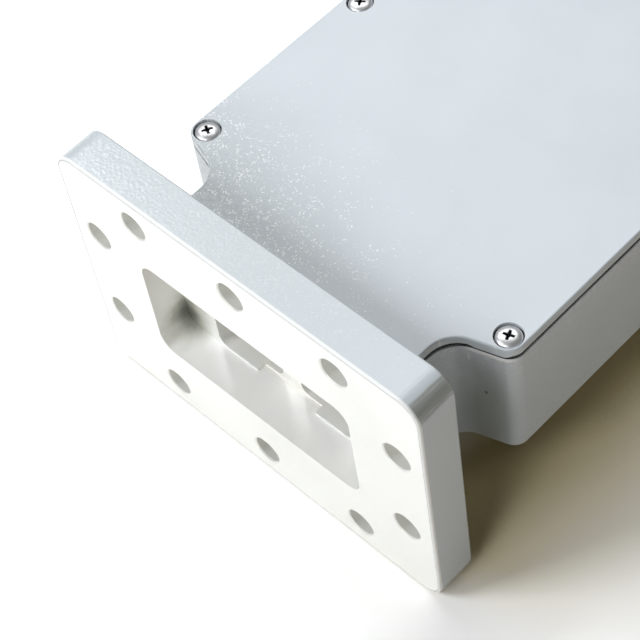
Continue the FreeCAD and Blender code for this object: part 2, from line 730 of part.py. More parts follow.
tuning_screws = []
for number in range(CAVITY_COUNT):
    name = f"cavity_tuning_screw_{number + 1}"
    tuning_screws.append(build_tuning_screw(name, cavity_centre(number), "cavity"))
for number in range(CAVITY_COUNT - 1):
    name = f"coupling_tuning_screw_{number + 1}"
    tuning_screws.append(build_tuning_screw(name, iris_centre(number), "coupling"))

cavity_nut = build_lock_nut("cavity_lock_nut", "cavity")
coupling_nut = build_lock_nut("coupling_lock_nut", "coupling")
doc.recompute()
cavity_places = [(value(cavity_centre(number)), 0, 0) for number in range(CAVITY_COUNT)]
iris_places = [(value(iris_centre(number)), 0, 0) for number in range(CAVITY_COUNT - 1)]
cavity_lock_nuts = copies_at("cavity_lock_nuts", cavity_nut, cavity_places)
coupling_lock_nuts = copies_at("coupling_lock_nuts", coupling_nut, iris_places)
doc.recompute()

for item in doc.Objects:
    if {"Invalid", "Error"} & set(item.State):
        raise RuntimeError(f"{item.Name} is {item.State}")

nodes = [filter_body, *flanges, lid, lid_gasket, lid_screws, *tuning_screws]
nodes += [cavity_lock_nuts, coupling_lock_nuts]
for node in nodes:
    if node.Shape.isNull() or not node.Shape.isValid():
        raise RuntimeError(f"{node.Label} has no valid shape")

os.makedirs("parts", exist_ok=True)
for node in nodes:
    node.Shape.exportStep(f"parts/{node.Label}.step")
    print(node.Label, len(node.Shape.Solids), "solids", round(node.Shape.Volume / 1000, 2), "cm3")
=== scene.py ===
import math

import bpy
from mathutils import Matrix, Vector


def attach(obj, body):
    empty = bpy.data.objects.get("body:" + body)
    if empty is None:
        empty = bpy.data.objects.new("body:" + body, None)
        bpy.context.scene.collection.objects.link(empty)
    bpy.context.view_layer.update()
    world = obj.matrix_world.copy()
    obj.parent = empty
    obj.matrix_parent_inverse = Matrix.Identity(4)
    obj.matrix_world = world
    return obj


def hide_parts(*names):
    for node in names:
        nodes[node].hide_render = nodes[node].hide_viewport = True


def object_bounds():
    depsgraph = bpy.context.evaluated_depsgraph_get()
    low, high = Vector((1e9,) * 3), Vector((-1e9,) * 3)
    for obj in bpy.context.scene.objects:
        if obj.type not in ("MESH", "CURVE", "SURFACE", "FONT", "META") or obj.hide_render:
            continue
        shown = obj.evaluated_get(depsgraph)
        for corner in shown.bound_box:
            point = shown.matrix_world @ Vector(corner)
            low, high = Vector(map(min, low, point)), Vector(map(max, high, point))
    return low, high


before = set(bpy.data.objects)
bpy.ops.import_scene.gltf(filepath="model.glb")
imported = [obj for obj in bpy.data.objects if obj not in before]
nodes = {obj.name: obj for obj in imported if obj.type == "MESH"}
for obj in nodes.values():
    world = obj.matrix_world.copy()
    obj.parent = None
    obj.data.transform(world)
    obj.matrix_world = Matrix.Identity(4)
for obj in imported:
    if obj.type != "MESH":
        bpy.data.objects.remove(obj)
cadLow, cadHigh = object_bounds()
scene = bpy.context.scene
scene.view_settings.view_transform = "Standard"
print("frame loaded:", len(nodes), "nodes")


# Camera, where the photograph was taken, in metres in the part's own frame
cameraSettings = {
    "place": (-0.230986, -0.193248, 0.329154), "right": (0.688273, -0.717042, -0.110145),
    "forward": (0.360928, 0.470166, -0.805404), "lens": 112.39, "sensorWidth": 36.0, "clipStart": 0.01,
}


def setUpCamera(settings):
    right = Vector(settings["right"]).normalized()
    forward = Vector(settings["forward"]).normalized()
    up = right.cross(forward)
    turn = Matrix((right, up, -forward)).transposed().to_4x4()
    data = bpy.data.cameras.new("camera")
    data.lens = settings["lens"]
    data.sensor_width = settings["sensorWidth"]
    data.clip_start = settings["clipStart"]
    camera = bpy.data.objects.new("camera", data)
    camera.matrix_world = Matrix.Translation(settings["place"]) @ turn
    scene.collection.objects.link(camera)
    scene.camera = camera


setUpCamera(cameraSettings)
print("camera placed")


# Node trees. Settings of two or four numbers are for ramps: low, high, and the values there

# Adds a node. A value is a number for that socket, or another node's socket to link to it
def put(tree, kind, values=None, **settings):
    node = tree.nodes.new(kind)
    for key, setting in settings.items():
        setattr(node, key, setting)
    for socket, value in (values or {}).items():
        if isinstance(value, bpy.types.NodeSocket):
            tree.links.new(value, node.inputs[socket])
        else:
            node.inputs[socket].default_value = value
    return node


def connect(tree, sockets, values):
    for label, value in values.items():
        tree.links.new(value, sockets[label])


def maths(tree, operation, *values, clamp=False):
    node = put(tree, "ShaderNodeMath", dict(enumerate(values)), operation=operation, use_clamp=clamp)
    return node.outputs[0]


def times(tree, *values):
    product = values[0]
    for value in values[1:]:
        product = maths(tree, "MULTIPLY", product, value)
    return product


def minus(tree, first, second):
    return maths(tree, "SUBTRACT", first, second)


# 1 where a mask is 0, and 0 where it is 1
def opposite(tree, mask):
    return minus(tree, 1.0, mask)


def vectorMaths(tree, operation, *values):
    node = put(tree, "ShaderNodeVectorMath", dict(enumerate(values)), operation=operation)
    return node.outputs["Value" if operation in ("LENGTH", "DISTANCE", "DOT_PRODUCT") else "Vector"]


def vector(tree, x=0.0, y=0.0, z=0.0):
    return put(tree, "ShaderNodeCombineXYZ", {0: x, 1: y, 2: z}).outputs[0]


def axesOf(tree, place):
    return put(tree, "ShaderNodeSeparateXYZ", {0: place}).outputs


# X, Y and Z of a place, the named ones without their sign
def fold(tree, place, names):
    axes = axesOf(tree, place)
    return [maths(tree, "ABSOLUTE", axes[name]) if name in names else axes[name] for name in "XYZ"]


def noise(tree, place, scale, detail=2.0, roughness=0.5):
    return put(tree, "ShaderNodeTexNoise", {"Vector": place, "Scale": scale, "Detail": detail,
                                            "Roughness": roughness}).outputs["Fac"]


# 0 below low, 1 above high, smooth between them
def ramp(tree, value, low, high, start=0.0, end=1.0):
    node = put(tree, "ShaderNodeMapRange", {"Value": value, "From Min": low, "From Max": high,
                                            "To Min": start, "To Max": end},
               interpolation_type="SMOOTHSTEP")
    return node.outputs["Result"]


def mixColours(tree, factor, first, second):
    ends = [value if isinstance(value, bpy.types.NodeSocket) else (*value, 1) for value in (first, second)]
    node = put(tree, "ShaderNodeMix", {"Factor": factor, 6: ends[0], 7: ends[1]}, data_type="RGBA")
    return node.outputs[2]


def mixValues(tree, factor, first, second):
    node = put(tree, "ShaderNodeMix", {"Factor": factor, "A": first, "B": second}, data_type="FLOAT")
    return node.outputs["Result"]


# Inputs are names with their defaults, or with the kind of a socket that has no default
def newGroup(name, kind, inputs, outputs, outputKind="Float"):
    group = bpy.data.node_groups.new(name, kind)
    for label, default in inputs.items():
        plain = not isinstance(default, str)
        inputKind = default if not plain else "Int" if isinstance(default, int) else "Float"
        socket = group.interface.new_socket(name=label, in_out="INPUT", socket_type="NodeSocket" + inputKind)
        if plain:
            socket.default_value = default
    for label in outputs:
        group.interface.new_socket(name=label, in_out="OUTPUT", socket_type="NodeSocket" + outputKind)
    return group, group.nodes.new("NodeGroupInput").outputs, group.nodes.new("NodeGroupOutput").inputs


# Places a group with its own values, and gives its outputs
def useGroup(tree, group, **values):
    kind = "ShaderNodeGroup" if group.bl_idname == "ShaderNodeTree" else "GeometryNodeGroup"
    return put(tree, kind, values, node_tree=group).outputs


# Shared effects, each one node group. Scales are in cycles a metre, but fineScale and foldScale are
# shares of the scale of the bumps
skinShape = {
    "bendScale": 320.0, "bend": 0.0012, "peelDetail": 0.6, "peelRoughness": 0.4, "fineScale": 2.2,
    "fineShare": 0.32, "patchScale": 170.0, "patchSpread": 0.7, "heavy": (1.0, 0.50), "tint": (1.15, 0.35),
    "foldScale": 0.85, "stringWidths": (0.080, 0.040), "stringShare": (0.10, 0.40), "beadRandomness": 0.9,
    "strewnShare": (0.965, 0.975), "strewnReach": (1.6, 0.6), "beadEdge": (0.52, 0.28),
    "threadWidth": (0.020, 0.008), "threadShare": (0.48, 0.56), "threadAmount": 0.6, "mottleScale": 55.0,
    "pitScale": 95.0, "pitChoiceScale": 75.0, "pitSize": (0.62, 0.74, 0.0, 0.045),
}


# Sprayed paint: smooth orange peel with a slow mottle and rare pits. Where it was sprayed last it is
# thicker, with dry beads in bent strings and a few thin runs between them. The zone's mask carries a
# painted shade in the colour, and the beads' mask carries pale painted glints
def makePaintSkin(shape):
    group, given, made = newGroup(
        "paintSkin", "ShaderNodeTree",
        {"Place": "Vector", "BumpSize": 0.0012, "Depth": 0.00002, "HeavyDepth": 0.00008, "BeadSize": 0.0005,
         "BeadDepth": 0.00004, "HeavyPlace": "Vector", "HeavyShape": "Vector", "HeavyReach": 0.06},
        ("Height", "Mottle", "Pits", "HeavyShadeZone", "BeadGlints"))
    place = given["Place"]
    scale = maths(group, "DIVIDE", 1.0, given["BumpSize"])
    bend = put(group, "ShaderNodeTexNoise", {"Vector": place, "Scale": shape["bendScale"], "Detail": 1.0})
    drift = vectorMaths(group, "MULTIPLY_ADD", bend.outputs["Color"], (shape["bend"],) * 3, place)
    bumps = noise(group, drift, scale, shape["peelDetail"], shape["peelRoughness"])
    fine = noise(group, drift, times(group, scale, shape["fineScale"]), 0.5)
    peel = maths(group, "MULTIPLY_ADD", fine, shape["fineShare"], bumps)
    # Heavy only near the place where the gun stopped, with a ragged border
    offset = vectorMaths(group, "MULTIPLY", vectorMaths(group, "SUBTRACT", place, given["HeavyPlace"]),
                         given["HeavyShape"])
    reach = maths(group, "DIVIDE", vectorMaths(group, "LENGTH", offset), given["HeavyReach"])
    patches = maths(group, "MULTIPLY_ADD", noise(group, place, shape["patchScale"], 1.0),
                    shape["patchSpread"], -0.5 * shape["patchSpread"])
    ragged = maths(group, "ADD", reach, patches)
    heavy = ramp(group, ragged, *shape["heavy"])
    depth = mixValues(group, heavy, given["Depth"], given["HeavyDepth"])
    folds = noise(group, drift, times(group, scale, shape["foldScale"]), 0.8)
    offLine = maths(group, "ABSOLUTE", minus(group, folds, 0.5))
    cells = put(group, "ShaderNodeTexVoronoi",
                {"Vector": vectorMaths(group, "MULTIPLY", drift, (1.0, 1.0, 0.0)),
                 "Randomness": shape["beadRandomness"],
                 "Scale": maths(group, "DIVIDE", 1.0, given["BeadSize"])}).outputs
    picked = put(group, "ShaderNodeSeparateColor", {0: cells["Color"]}).outputs["Red"]
    wide, narrow = (times(group, heavy, width) for width in shape["stringWidths"])
    strings = times(group, ramp(group, offLine, wide, narrow), ramp(group, picked, *shape["stringShare"]))
    strewn = times(group, ramp(group, picked, *shape["strewnShare"]),
                   ramp(group, ragged, *shape["strewnReach"]))
    bead = times(group, ramp(group, cells["Distance"], *shape["beadEdge"]),
                 maths(group, "MAXIMUM", strings, strewn))
    threads = times(group, ramp(group, offLine, *shape["threadWidth"]),
                    ramp(group, fine, *shape["threadShare"]), heavy, shape["threadAmount"])
    beads = maths(group, "MAXIMUM", bead, threads)
    pits = put(group, "ShaderNodeTexVoronoi", {"Vector": place, "Scale": shape["pitScale"],
                                               "Randomness": 1.0})
    pitSize = ramp(group, noise(group, place, shape["pitChoiceScale"]), *shape["pitSize"])
    connect(group, made, {
        "Height": maths(group, "MULTIPLY_ADD", peel, depth, times(group, beads, given["BeadDepth"])),
        "Mottle": noise(group, place, shape["mottleScale"], 3.0),
        "Pits": maths(group, "LESS_THAN", pits.outputs["Distance"], pitSize),
        "HeavyShadeZone": ramp(group, reach, *shape["tint"]), "BeadGlints": beads,
    })
    return group


rubShape = {"sharp": (0.995, 0.90), "gritScale": 420.0, "grit": (0.40, 0.62), "samples": 4}


# Light rubbing on outside edges, broken up by noise. On the paint its pale colour is also a painted highlight
# along the edges
def makeEdgeRub(shape):
    group, given, made = newGroup("edgeRub", "ShaderNodeTree",
                                  {"Place": "Vector", "Width": 0.0003, "Amount": 1.0}, ("Rub",))
    rounded = put(group, "ShaderNodeBevel", {"Radius": given["Width"]}, samples=shape["samples"])
    surface = put(group, "ShaderNodeNewGeometry")
    turn = vectorMaths(group, "DOT_PRODUCT", rounded.outputs["Normal"], surface.outputs["Normal"])
    patchy = ramp(group, noise(group, given["Place"], shape["gritScale"], 4.0), *shape["grit"])
    rub = times(group, ramp(group, turn, *shape["sharp"]), patchy)
    connect(group, made, {"Rub": maths(group, "MULTIPLY", rub, given["Amount"], clamp=True)})
    return group


markShape = {"lineRoughness": 0.6, "patchScale": 120.0, "patches": (0.35, 0.65), "cloudScale": 38.0}


# Marks of a cutter: fine lines across the travel, uneven along their length
def makeCutterMarks(shape):
    group, given, made = newGroup("cutterMarks", "ShaderNodeTree",
                                  {"Place": "Vector", "Travel": 0.0, "Spacing": 0.0004},
                                  ("Height", "Streak", "Cloud"))
    steps = maths(group, "DIVIDE", given["Travel"], given["Spacing"])
    lines = put(group, "ShaderNodeTexNoise",
                {"W": steps, "Scale": 1.0, "Detail": 3.0, "Roughness": shape["lineRoughness"]},
                noise_dimensions="1D").outputs["Fac"]
    patches = ramp(group, noise(group, given["Place"], shape["patchScale"], 3.0), *shape["patches"])
    connect(group, made, {"Height": lines, "Streak": mixValues(group, patches, 0.5, lines),
                          "Cloud": noise(group, given["Place"], shape["cloudScale"], 4.0)})
    return group


# Distance from a rounded rectangle across Y and Z, negative inside it
def makeRoundedOutline():
    group, given, made = newGroup("roundedOutline", "ShaderNodeTree",
                                  {"Place": "Vector", "HalfY": 0.05, "HalfZ": 0.03, "Round": 0.005},
                                  ("Distance",))
    axes = fold(group, given["Place"], "YZ")[1:]
    beyond = [minus(group, axis, minus(group, given[half], given["Round"]))
              for axis, half in zip(axes, ("HalfY", "HalfZ"))]
    corner = vector(group, *(maths(group, "MAXIMUM", part, 0.0) for part in beyond))
    inner = maths(group, "MINIMUM", maths(group, "MAXIMUM", *beyond), 0.0)
    outer = vectorMaths(group, "LENGTH", corner)
    connect(group, made, {"Distance": minus(group, maths(group, "ADD", outer, inner), given["Round"])})
    return group


paintSkin = makePaintSkin(skinShape)
edgeRub = makeEdgeRub(rubShape)
cutterMarks = makeCutterMarks(markShape)
roundedOutline = makeRoundedOutline()
print("shader groups made")


# Light: a soft key from the left, softer boxes behind and beside the part, and a faint warm sky.
# Directions are in degrees round Z from +X and above the floor, sizes in metres, power in watts
lightSettings = {
    "target": (-0.03, -0.01, 0.0), "distance": 1.0,
    "softboxes": {
        "keySoftbox": {"direction": (148, 40), "size": (0.32, 0.32), "power": 3.9,
                       "colour": (0.97, 1.0, 1.03)},
        "leftSoftbox": {"direction": (187, 47), "size": (0.30, 0.30), "power": 1.5,
                        "colour": (1.0, 1.0, 1.0)},
        "cornerSoftbox": {"direction": (81, 49), "size": (0.20, 0.20), "power": 2.7,
                          "colour": (0.97, 1.0, 1.03)},
        "backSoftbox": {"direction": (38, 54), "size": (0.60, 0.60), "power": 3.2,
                        "colour": (1.0, 1.0, 1.0)},
        "frontSoftbox": {"direction": (197, 27), "size": (0.30, 0.30), "power": 1.7,
                         "colour": (1.0, 1.0, 0.98)},
        "fillSoftbox": {"direction": (312, 8), "size": (0.50, 0.30), "power": 0.55,
                        "colour": (1.0, 0.88, 0.62)},
    },
    "skyColour": (1.0, 0.78, 0.42), "skyStrength": 0.007,
}


def addSoftbox(name, settings, target, distance):
    data = bpy.data.lights.new(name, "AREA")
    data.shape = "RECTANGLE"
    data.size, data.size_y = settings["size"]
    data.energy = settings["power"]
    data.color = settings["colour"]
    lamp = bpy.data.objects.new(name, data)
    around, above = (math.radians(angle) for angle in settings["direction"])
    level = math.cos(above)
    away = Vector((math.cos(around) * level, math.sin(around) * level, math.sin(above)))
    lamp.location = Vector(target) + away * distance
    lamp.rotation_euler = away.to_track_quat("Z", "Y").to_euler()
    scene.collection.objects.link(lamp)


# The sky lights the part softly, and is plain white where the camera sees it
def setUpSky(settings):
    world = bpy.data.worlds.new("studio")
    world.use_nodes = True
    tree = world.node_tree
    tree.nodes.clear()
    light = put(tree, "ShaderNodeBackground", {"Color": (*settings["skyColour"], 1),
                                               "Strength": settings["skyStrength"]})
    seen = put(tree, "ShaderNodeBackground", {"Color": (1, 1, 1, 1), "Strength": 1.0})
    path = put(tree, "ShaderNodeLightPath")
    mix = put(tree, "ShaderNodeMixShader", {0: path.outputs["Is Camera Ray"], 1: light.outputs[0],
                                            2: seen.outputs[0]})
    put(tree, "ShaderNodeOutputWorld", {"Surface": mix.outputs[0]})
    scene.world = world


for name, settings in lightSettings["softboxes"].items():
    addSoftbox(name, settings, lightSettings["target"], lightSettings["distance"])
setUpSky(lightSettings)
print("lights placed")


# Floor, which the long edges of the two flanges stand on. The camera and the gloss see a brighter paper
# than the one that lights the part. On the part's shaded side a warm painted shadow lies where the paper
# is close, and a painted shade, darkest, under the casing. Far from the part it is plain white
floorSettings = {
    "size": 12.0, "colour": (0.62, 0.57, 0.49), "seenColour": (1.29, 1.285, 1.28),
    "glossColour": (1.45, 1.45, 1.44), "closeShadowColour": (0.98, 0.85, 0.51), "closeReach": 0.20,
    "closeSide": (0.10, 0.90, 0.42), "closeSamples": 8, "closeShadow": (0.90, 0.45),
    "closeStart": (-0.107, -0.087), "closeEnd": (0.110, 0.090), "closeEdge": (-0.014, -0.034),
    "underShadowColour": (0.56, 0.47, 0.25), "underSpan": 0.045, "underSlope": -0.45, "under": (-0.074, -0.062),
    "white": (0.24, 0.48),
}


def addFloor(settings):
    half = settings["size"] / 2
    corners = [(x, y, cadLow.z) for x, y in ((-half, -half), (half, -half), (half, half), (-half, half))]
    mesh = bpy.data.meshes.new("floor")
    mesh.from_pydata(corners, [], [(0, 1, 2, 3)])
    floor = bpy.data.objects.new("floor", mesh)
    scene.collection.objects.link(floor)
    material = bpy.data.materials.new("floorPaper")
    material.use_nodes = True
    tree = material.node_tree
    tree.nodes.clear()
    rays = put(tree, "ShaderNodeLightPath").outputs
    place = put(tree, "ShaderNodeTexCoord").outputs["Object"]
    axes = axesOf(tree, place)
    near = put(tree, "ShaderNodeAmbientOcclusion", {"Distance": settings["closeReach"],
                                                    "Normal": settings["closeSide"]},
               samples=settings["closeSamples"])
    # Painted shadow: warm near the part on its shaded side, and darkest under the casing
    shadowShare = times(tree, ramp(tree, near.outputs["AO"], *settings["closeShadow"]),
                 ramp(tree, axes["X"], *settings["closeStart"]), ramp(tree, axes["X"], *settings["closeEnd"]),
                 ramp(tree, axes["Y"], *settings["closeEdge"]))
    span = maths(tree, "MAXIMUM", maths(tree, "ABSOLUTE", axes["X"]), settings["underSpan"])
    inward = maths(tree, "MULTIPLY_ADD", span, settings["underSlope"], axes["Y"])
    closeShadow = mixColours(tree, ramp(tree, inward, *settings["under"]), settings["closeShadowColour"],
                       settings["underShadowColour"])
    seen = mixColours(tree, shadowShare, settings["seenColour"], closeShadow)
    gloss = mixColours(tree, rays["Is Glossy Ray"], settings["colour"], settings["glossColour"])
    colour = mixColours(tree, rays["Is Camera Ray"], gloss, seen)
    paper = put(tree, "ShaderNodeBsdfDiffuse", {"Color": colour})
    white = put(tree, "ShaderNodeEmission", {"Color": (1, 1, 1, 1), "Strength": 1.0})
    away = ramp(tree, vectorMaths(tree, "LENGTH", place), *settings["white"])
    either = maths(tree, "MAXIMUM", rays["Is Camera Ray"], rays["Is Glossy Ray"])
    surface = put(tree, "ShaderNodeMixShader", {0: times(tree, away, either), 1: paper.outputs[0],
                                                2: white.outputs[0]})
    put(tree, "ShaderNodeOutputMaterial", {"Surface": surface.outputs[0]})
    mesh.materials.append(material)


addFloor(floorSettings)
print("floor laid")


# Finishes
# The heavy colour is a painted shade, and the pale bead colour is painted glints
paintLook = {
    "colour": (0.690, 0.742, 0.790), "shadeColour": (0.625, 0.672, 0.715), "shade": (0.3, 0.8, 0.0, 0.35),
    "heavyShadeColour": (0.545, 0.592, 0.618), "heavyAmount": 0.9, "beadGlintColour": (0.985, 0.99, 0.995),
    "beadGlintAmount": 0.95, "rubAndHighlightColour": (0.90, 0.91, 0.91), "pitColour": (0.16, 0.16, 0.16),
    "roughness": (0.3, 0.7, 0.22, 0.27), "rub": {"Width": 0.00040, "Amount": 0.60},
    "skin": {"BumpSize": 0.0012, "Depth": 0.000018, "HeavyDepth": 0.00010, "BeadSize": 0.00050,
             "BeadDepth": 0.000016, "HeavyPlace": (-0.093, 0.040, 0.017), "HeavyShape": (1.0, 0.57, 1.0),
             "HeavyReach": 0.038},
}
# The flanges have finer ripples, and beads that are flat, with faint painted glints
flangePaintLook = dict(
    paintLook, heavyShadeColour=(0.625, 0.672, 0.700), beadGlintAmount=0.25,
    skin={"BumpSize": 0.0007, "Depth": 0.000018, "HeavyDepth": 0.000045, "BeadSize": 0.00050,
          "BeadDepth": 0.0, "HeavyPlace": (-0.098, 0.034, 0.034), "HeavyShape": (1.0, 1.0, 1.0),
          "HeavyReach": 0.085})
bareLook = {
    "colour": (0.955, 0.96, 0.94), "stainColour": (0.90, 0.905, 0.875), "streaks": (0.40, 0.75, 0.0, 0.35),
    "clouds": (0.50, 0.75, 0.0, 0.5), "metallic": 0.5, "roughness": (0.3, 0.7, 0.34, 0.48),
    "spacing": 0.00045, "depth": 0.000005,
}
paintThickness = 0.00005
# Darker in the deep corners of each port, in a ragged patch
portCorner = {
    "place": (0.0949, 0.0288, -0.0110), "squash": (0.9, 1.0, 0.75), "raggedScale": 260.0, "ragged": 0.004,
    "wide": (0.0105, 0.004, 0.0, 0.8), "wideColour": (0.60, 0.61, 0.53),
    "deep": (0.007, 0.002, 0.0, 0.86), "deepColour": (0.17, 0.18, 0.155),
}


def newMaterial(name):
    material = bpy.data.materials.new(name)
    material.use_nodes = True
    tree = material.node_tree
    place = put(tree, "ShaderNodeTexCoord").outputs["Object"]
    return material, tree, tree.nodes["Principled BSDF"], place


# Colours laid over the first one, each where its mask is 1
def layer(tree, colour, *coats):
    for mask, coat in coats:
        colour = mixColours(tree, mask, colour, coat)
    return colour


# Distance from a spot, which is long where the squash is small
def awayFrom(tree, place, spot):
    target = tuple(part * share for part, share in zip(spot["place"], spot["squash"]))
    return vectorMaths(tree, "DISTANCE", vectorMaths(tree, "MULTIPLY", place, spot["squash"]), target)


def nearestOf(tree, place, targets):
    nearest, *others = [vectorMaths(tree, "DISTANCE", place, target) for target in targets]
    for other in others:
        nearest = maths(tree, "MINIMUM", nearest, other)
    return nearest


# Distance, seen from above, from the shoulder at each end of the near side
def awayFromShoulder(tree, place, shoulder):
    return vectorMaths(tree, "DISTANCE", vector(tree, *fold(tree, place, "X")[:2]), shoulder)


# Colour, roughness and height of the paint
def paintParts(tree, place, look):
    skin = useGroup(tree, paintSkin, Place=place, **look["skin"])
    # The pale rubbed edges are partly wear and partly a painted highlight
    rub = useGroup(tree, edgeRub, Place=place, **look["rub"])
    # The heavy zone's darker colour is a painted shade, and the pale beads are painted glints
    colour = layer(tree, look["colour"],
                   (ramp(tree, skin["Mottle"], *look["shade"]), look["shadeColour"]),
                   (times(tree, skin["HeavyShadeZone"], look["heavyAmount"]), look["heavyShadeColour"]),
                   (times(tree, skin["BeadGlints"], look["beadGlintAmount"]), look["beadGlintColour"]),
                   (rub["Rub"], look["rubAndHighlightColour"]), (skin["Pits"], look["pitColour"]))
    return colour, ramp(tree, skin["Mottle"], *look["roughness"]), skin["Height"]


# Colour, roughness and height of the bare metal
def bareParts(tree, place, travel, look):
    marks = useGroup(tree, cutterMarks, Place=place, Travel=travel, Spacing=look["spacing"])
    colour = layer(tree, look["colour"],
                   (ramp(tree, marks["Streak"], *look["streaks"]), look["stainColour"]),
                   (ramp(tree, marks["Cloud"], *look["clouds"]), look["stainColour"]))
    return colour, ramp(tree, marks["Cloud"], *look["roughness"]), times(tree, marks["Height"], look["depth"])


# Darkens the deep corners of each port
def darkenPortCorners(tree, place, colour, corner):
    folded = vector(tree, *fold(tree, place, "XY"))
    away = maths(tree, "MULTIPLY_ADD", noise(tree, place, corner["raggedScale"], 3.0), corner["ragged"],
                 awayFrom(tree, folded, corner))
    return layer(tree, colour, (ramp(tree, away, *corner["wide"]), corner["wideColour"]),
                 (ramp(tree, away, *corner["deep"]), corner["deepColour"]))


def finish(tree, shader, colour, rough, height):
    bump = put(tree, "ShaderNodeBump", {"Height": height, "Strength": 1.0, "Distance": 1.0})
    connect(tree, shader.inputs, {"Base Color": colour, "Roughness": rough, "Normal": bump.outputs["Normal"]})


# Paint where bare is 0 and metal where it is 1, with the thickness of the paint at the line between
def finishPaintedMetal(tree, shader, bare, paint, metal, metallic):
    film = times(tree, opposite(tree, bare), paintThickness)
    height = maths(tree, "ADD", mixValues(tree, bare, paint[2], metal[2]), film)
    finish(tree, shader, mixColours(tree, bare, paint[0], metal[0]),
           mixValues(tree, bare, paint[1], metal[1]), height)
    connect(tree, shader.inputs, {"Metallic": times(tree, bare, metallic)})


# On the mating face paint stops just inside the rim, with a thin dull line at its end. The rims in front
# and behind are painted pale as a highlight. Streaks of a roller run through the thickness, deepest on the
# corners
flangeEdges = {
    "outline": {"HalfY": 0.049215, "HalfZ": 0.034925, "Round": 0.0055},
    "port": {"HalfY": 0.029085, "HalfZ": 0.01454, "Round": 0.004},
    "facePlane": 0.1029, "lipWidth": 0.0003, "holeRadius": 0.00374,
    "holes": ((0.0, 0.04167, 0.0129), (0.0, 0.02738, 0.02738), (0.0, 0.0, 0.02738)),
    "paintEnd": (-0.00045, -0.00069), "lineInner": (-0.000834, -0.00057), "lineOuter": (-0.000306, -0.00045),
    "lineAmount": 0.95, "lineColour": (0.32, 0.33, 0.32), "holeColour": (0.90, 0.90, 0.87),
    "portColour": (1.0, 1.0, 0.985), "portRoughness": 0.16, "portMetallic": 0.10,
    "cutterCentre": (0.0, -0.16, -0.11), "rim": (0.10233, 0.10248), "backRim": (0.09375, 0.09365),
    "backRimSides": (0.0486, 0.0490, 0.0, 0.8), "rimHighlightColour": (0.95, 0.96, 0.96),
    "streakStretch": (0.10, 1.0, 1.0), "streakSpacing": 0.0007,
    "streakDepth": (0.041, 0.046, 0.000003, 0.000055),
    # A painted shade across the upper corner on the near side
    "shadeCorner": (-0.043715, 0.029425), "shadeSway": 0.8, "shadeStart": (0.70, 1.15),
    "shadeEnd": (1.78, 1.46), "shadeAmount": 0.8, "cornerShadeColour": (0.36, 0.38, 0.345),
}


def makeFlangePaint(look, metalLook, edges):
    material, tree, shader, place = newMaterial("flangePaint")
    outline, port = (useGroup(tree, roundedOutline, Place=place, **edges[shape])["Distance"]
                     for shape in ("outline", "port"))
    along, across, upright = fold(tree, place, "XYZ")
    inside = ramp(tree, outline, *edges["paintEnd"])
    onFace = maths(tree, "GREATER_THAN", along, edges["facePlane"])
    offFace = opposite(tree, onFace)
    inPort = maths(tree, "LESS_THAN", port, edges["lipWidth"])
    toHole = nearestOf(tree, vector(tree, 0.0, across, upright), edges["holes"])
    inHole = maths(tree, "LESS_THAN", toHole, edges["holeRadius"])
    machined = maths(tree, "MAXIMUM", maths(tree, "MAXIMUM", onFace, inPort), inHole)
    streaks = noise(tree, vectorMaths(tree, "MULTIPLY", place, edges["streakStretch"]),
                    1.0 / edges["streakSpacing"])
    streakDepth = ramp(tree, across, *edges["streakDepth"])
    # The pale front and back rims are a painted highlight
    frontRim = times(tree, opposite(tree, inside), ramp(tree, along, *edges["rim"]))
    backRim = times(tree, ramp(tree, along, *edges["backRim"]), ramp(tree, across, *edges["backRimSides"]))
    # A painted shade lies across the upper corner on the near side, wavy with the streaks
    axes = axesOf(tree, place)
    outward = minus(tree, edges["shadeCorner"][0], axes["Y"])
    upward = minus(tree, axes["Z"], edges["shadeCorner"][1])
    turn = maths(tree, "MULTIPLY_ADD", streaks, edges["shadeSway"], maths(tree, "ARCTAN2", outward, upward))
    darkening = times(tree, ramp(tree, turn, *edges["shadeStart"]), ramp(tree, turn, *edges["shadeEnd"]),
                  maths(tree, "GREATER_THAN", outward, 0.0), maths(tree, "GREATER_THAN", upward, 0.0),
                  edges["shadeAmount"])
    paint = paintParts(tree, place, look)
    colour = layer(tree, paint[0], (darkening, edges["cornerShadeColour"]),
                   (maths(tree, "MAXIMUM", frontRim, backRim), edges["rimHighlightColour"]))
    paint = (colour, paint[1], maths(tree, "MULTIPLY_ADD", streaks, streakDepth, paint[2]))
    # The mating face was faced off by a cutter, and the port is smoother
    travel = vectorMaths(tree, "DISTANCE", place, edges["cutterCentre"])
    metal = bareParts(tree, place, travel, metalLook)
    edgeLine = times(tree, ramp(tree, outline, *edges["lineInner"]), ramp(tree, outline, *edges["lineOuter"]),
                     onFace, edges["lineAmount"])
    polished = times(tree, inPort, offFace)
    colour = layer(tree, metal[0], (edgeLine, edges["lineColour"]),
                   (times(tree, inHole, offFace), edges["holeColour"]), (polished, edges["portColour"]))
    metal = (darkenPortCorners(tree, place, colour, portCorner),
             mixValues(tree, polished, metal[1], edges["portRoughness"]), metal[2])
    metallic = mixValues(tree, polished, metalLook["metallic"], edges["portMetallic"])
    finishPaintedMetal(tree, shader, times(tree, inside, machined), paint, metal, metallic)
    return material


